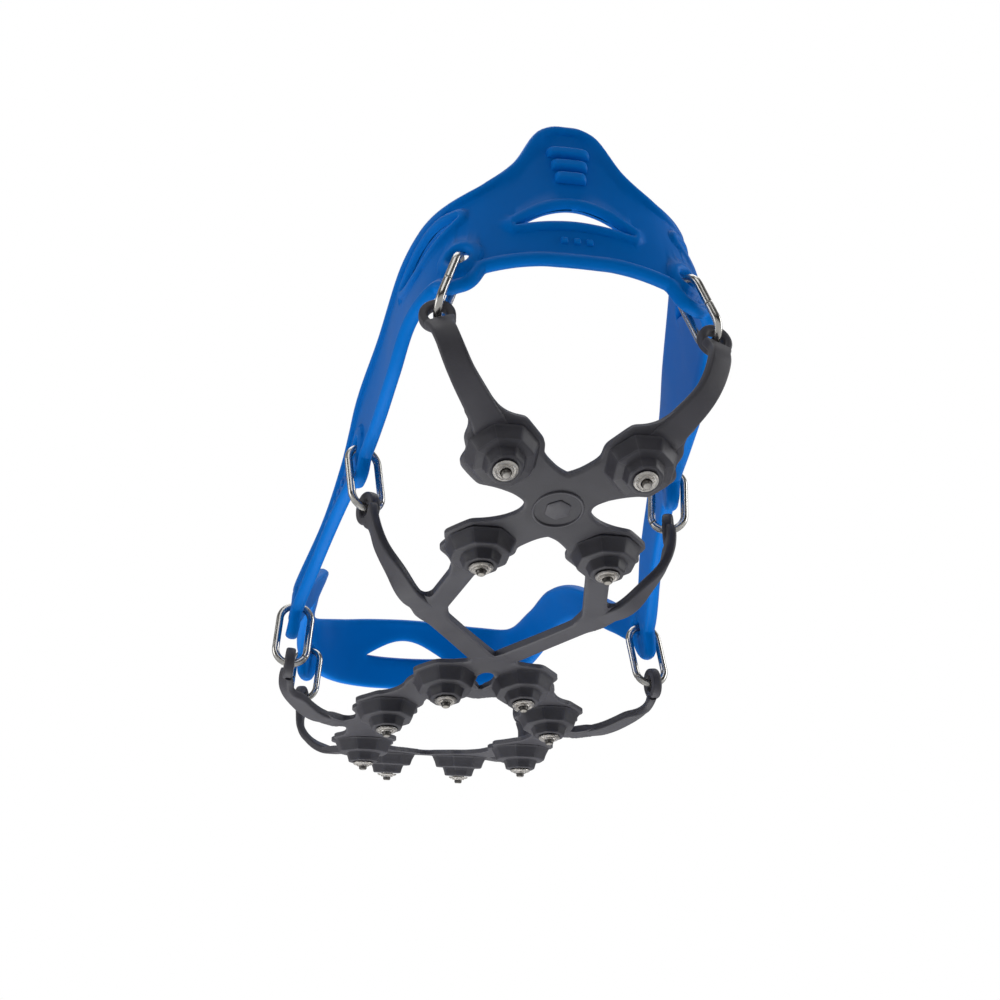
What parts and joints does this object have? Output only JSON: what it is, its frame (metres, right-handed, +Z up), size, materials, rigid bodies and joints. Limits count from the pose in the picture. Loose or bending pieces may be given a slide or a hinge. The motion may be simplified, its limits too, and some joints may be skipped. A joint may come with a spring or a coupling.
{
  "type": "pull-on ice cleat",
  "caption": "Pull-on shoe ice cleat: stretch harness hung on wire links over a moulded rubber sole web with stepped lugs that hold carbide-tipped studs.",
  "frame": {"origin": "middle of the cleat's box in X and Y, on the ground plane that the lowest stud tips stand on", "axes": "+Z up, out of the ground and into the shoe; +Y forward, towards the toe; +X to the wearer's right"},
  "size_m": [0.1242, 0.2796, 0.1125],
  "materials": {
    "elastomer": "satin moulded blue elastomer with raised beaded edges",
    "web_rubber": "satin moulded dark grey rubber",
    "stainless_wire": "bright drawn stainless wire, 2.2 mm",
    "stud_aluminium": "turned and tumbled bright aluminium",
    "stud_carbide": "ground sintered carbide, dark grey metallic"
  },
  "bodies": {
    "web": {"traction_web": "web_rubber", "stud_base_1_right": "stud_aluminium", "stud_tip_1_right": "stud_carbide", "stud_base_1_left": "stud_aluminium", "stud_tip_1_left": "stud_carbide", "stud_base_2_right": "stud_aluminium", "stud_tip_2_right": "stud_carbide", "stud_base_2_left": "stud_aluminium", "stud_tip_2_left": "stud_carbide", "stud_base_3_right": "stud_aluminium", "stud_tip_3_right": "stud_carbide", "stud_base_3_left": "stud_aluminium", "stud_tip_3_left": "stud_carbide", "stud_base_4_right": "stud_aluminium", "stud_tip_4_right": "stud_carbide", "stud_base_4_left": "stud_aluminium", "stud_tip_4_left": "stud_carbide", "stud_base_5_right": "stud_aluminium", "stud_tip_5_right": "stud_carbide", "stud_base_5_left": "stud_aluminium", "stud_tip_5_left": "stud_carbide", "stud_base_6_right": "stud_aluminium", "stud_tip_6_right": "stud_carbide", "stud_base_6_left": "stud_aluminium", "stud_tip_6_left": "stud_carbide"},
    "link_heel_right": {"link_heel_right": "stainless_wire"},
    "link_heel_left": {"link_heel_left": "stainless_wire"},
    "link_mid_right": {"link_mid_right": "stainless_wire"},
    "link_mid_left": {"link_mid_left": "stainless_wire"},
    "link_ball_right": {"link_ball_right": "stainless_wire"},
    "link_ball_left": {"link_ball_left": "stainless_wire"},
    "link_toe_right": {"link_toe_right": "stainless_wire"},
    "link_toe_left": {"link_toe_left": "stainless_wire"},
    "harness": {"harness": "elastomer"}
  },
  "joints": [
    {"name": "link_heel_right_swing", "type": "hinge", "parent": "web", "child": "link_heel_right", "pos_m": [0.0366, -0.1316, 0.04633], "axis": [1, 0, 0], "range_deg": [-8, 8], "stiffness_Nm_per_rad": 0.2},
    {"name": "link_heel_left_swing", "type": "hinge", "parent": "web", "child": "link_heel_left", "pos_m": [-0.0366, -0.1316, 0.04633], "axis": [1, 0, 0], "range_deg": [-8, 8]},
    {"name": "link_mid_right_swing", "type": "hinge", "parent": "web", "child": "link_mid_right", "pos_m": [0.0434, -0.06, 0.03207], "axis": [1, 0, 0], "range_deg": [-8, 8]},
    {"name": "link_mid_left_swing", "type": "hinge", "parent": "web", "child": "link_mid_left", "pos_m": [-0.0434, -0.06, 0.03207], "axis": [1, 0, 0], "range_deg": [-8, 8]},
    {"name": "link_ball_right_swing", "type": "hinge", "parent": "web", "child": "link_ball_right", "pos_m": [0.0569, 0.009, 0.01813], "axis": [1, 0, 0], "range_deg": [-8, 8]},
    {"name": "link_ball_left_swing", "type": "hinge", "parent": "web", "child": "link_ball_left", "pos_m": [-0.0569, 0.009, 0.01813], "axis": [1, 0, 0], "range_deg": [-8, 8]},
    {"name": "link_toe_right_swing", "type": "hinge", "parent": "web", "child": "link_toe_right", "pos_m": [0.0404, 0.113, 0.05755], "axis": [1, 0, 0], "range_deg": [-8, 8]},
    {"name": "link_toe_left_swing", "type": "hinge", "parent": "web", "child": "link_toe_left", "pos_m": [-0.0404, 0.113, 0.05755], "axis": [1, 0, 0], "range_deg": [-8, 8]},
    {"name": "harness_sway", "type": "hinge", "parent": "link_heel_right", "child": "harness", "pos_m": [0.03, -0.1316, 0.065], "axis": [1, 0, 0], "range_deg": [-8, 8]}
  ],
  "couplings": [
    {"joint": "link_heel_left_swing", "follows": "link_heel_right_swing", "ratio": 1},
    {"joint": "link_mid_right_swing", "follows": "link_heel_right_swing", "ratio": 1},
    {"joint": "link_mid_left_swing", "follows": "link_heel_right_swing", "ratio": 1},
    {"joint": "link_ball_right_swing", "follows": "link_heel_right_swing", "ratio": 1},
    {"joint": "link_ball_left_swing", "follows": "link_heel_right_swing", "ratio": 1},
    {"joint": "link_toe_right_swing", "follows": "link_heel_right_swing", "ratio": 1},
    {"joint": "link_toe_left_swing", "follows": "link_heel_right_swing", "ratio": 1},
    {"joint": "harness_sway", "follows": "link_heel_right_swing", "ratio": -1}
  ]
}
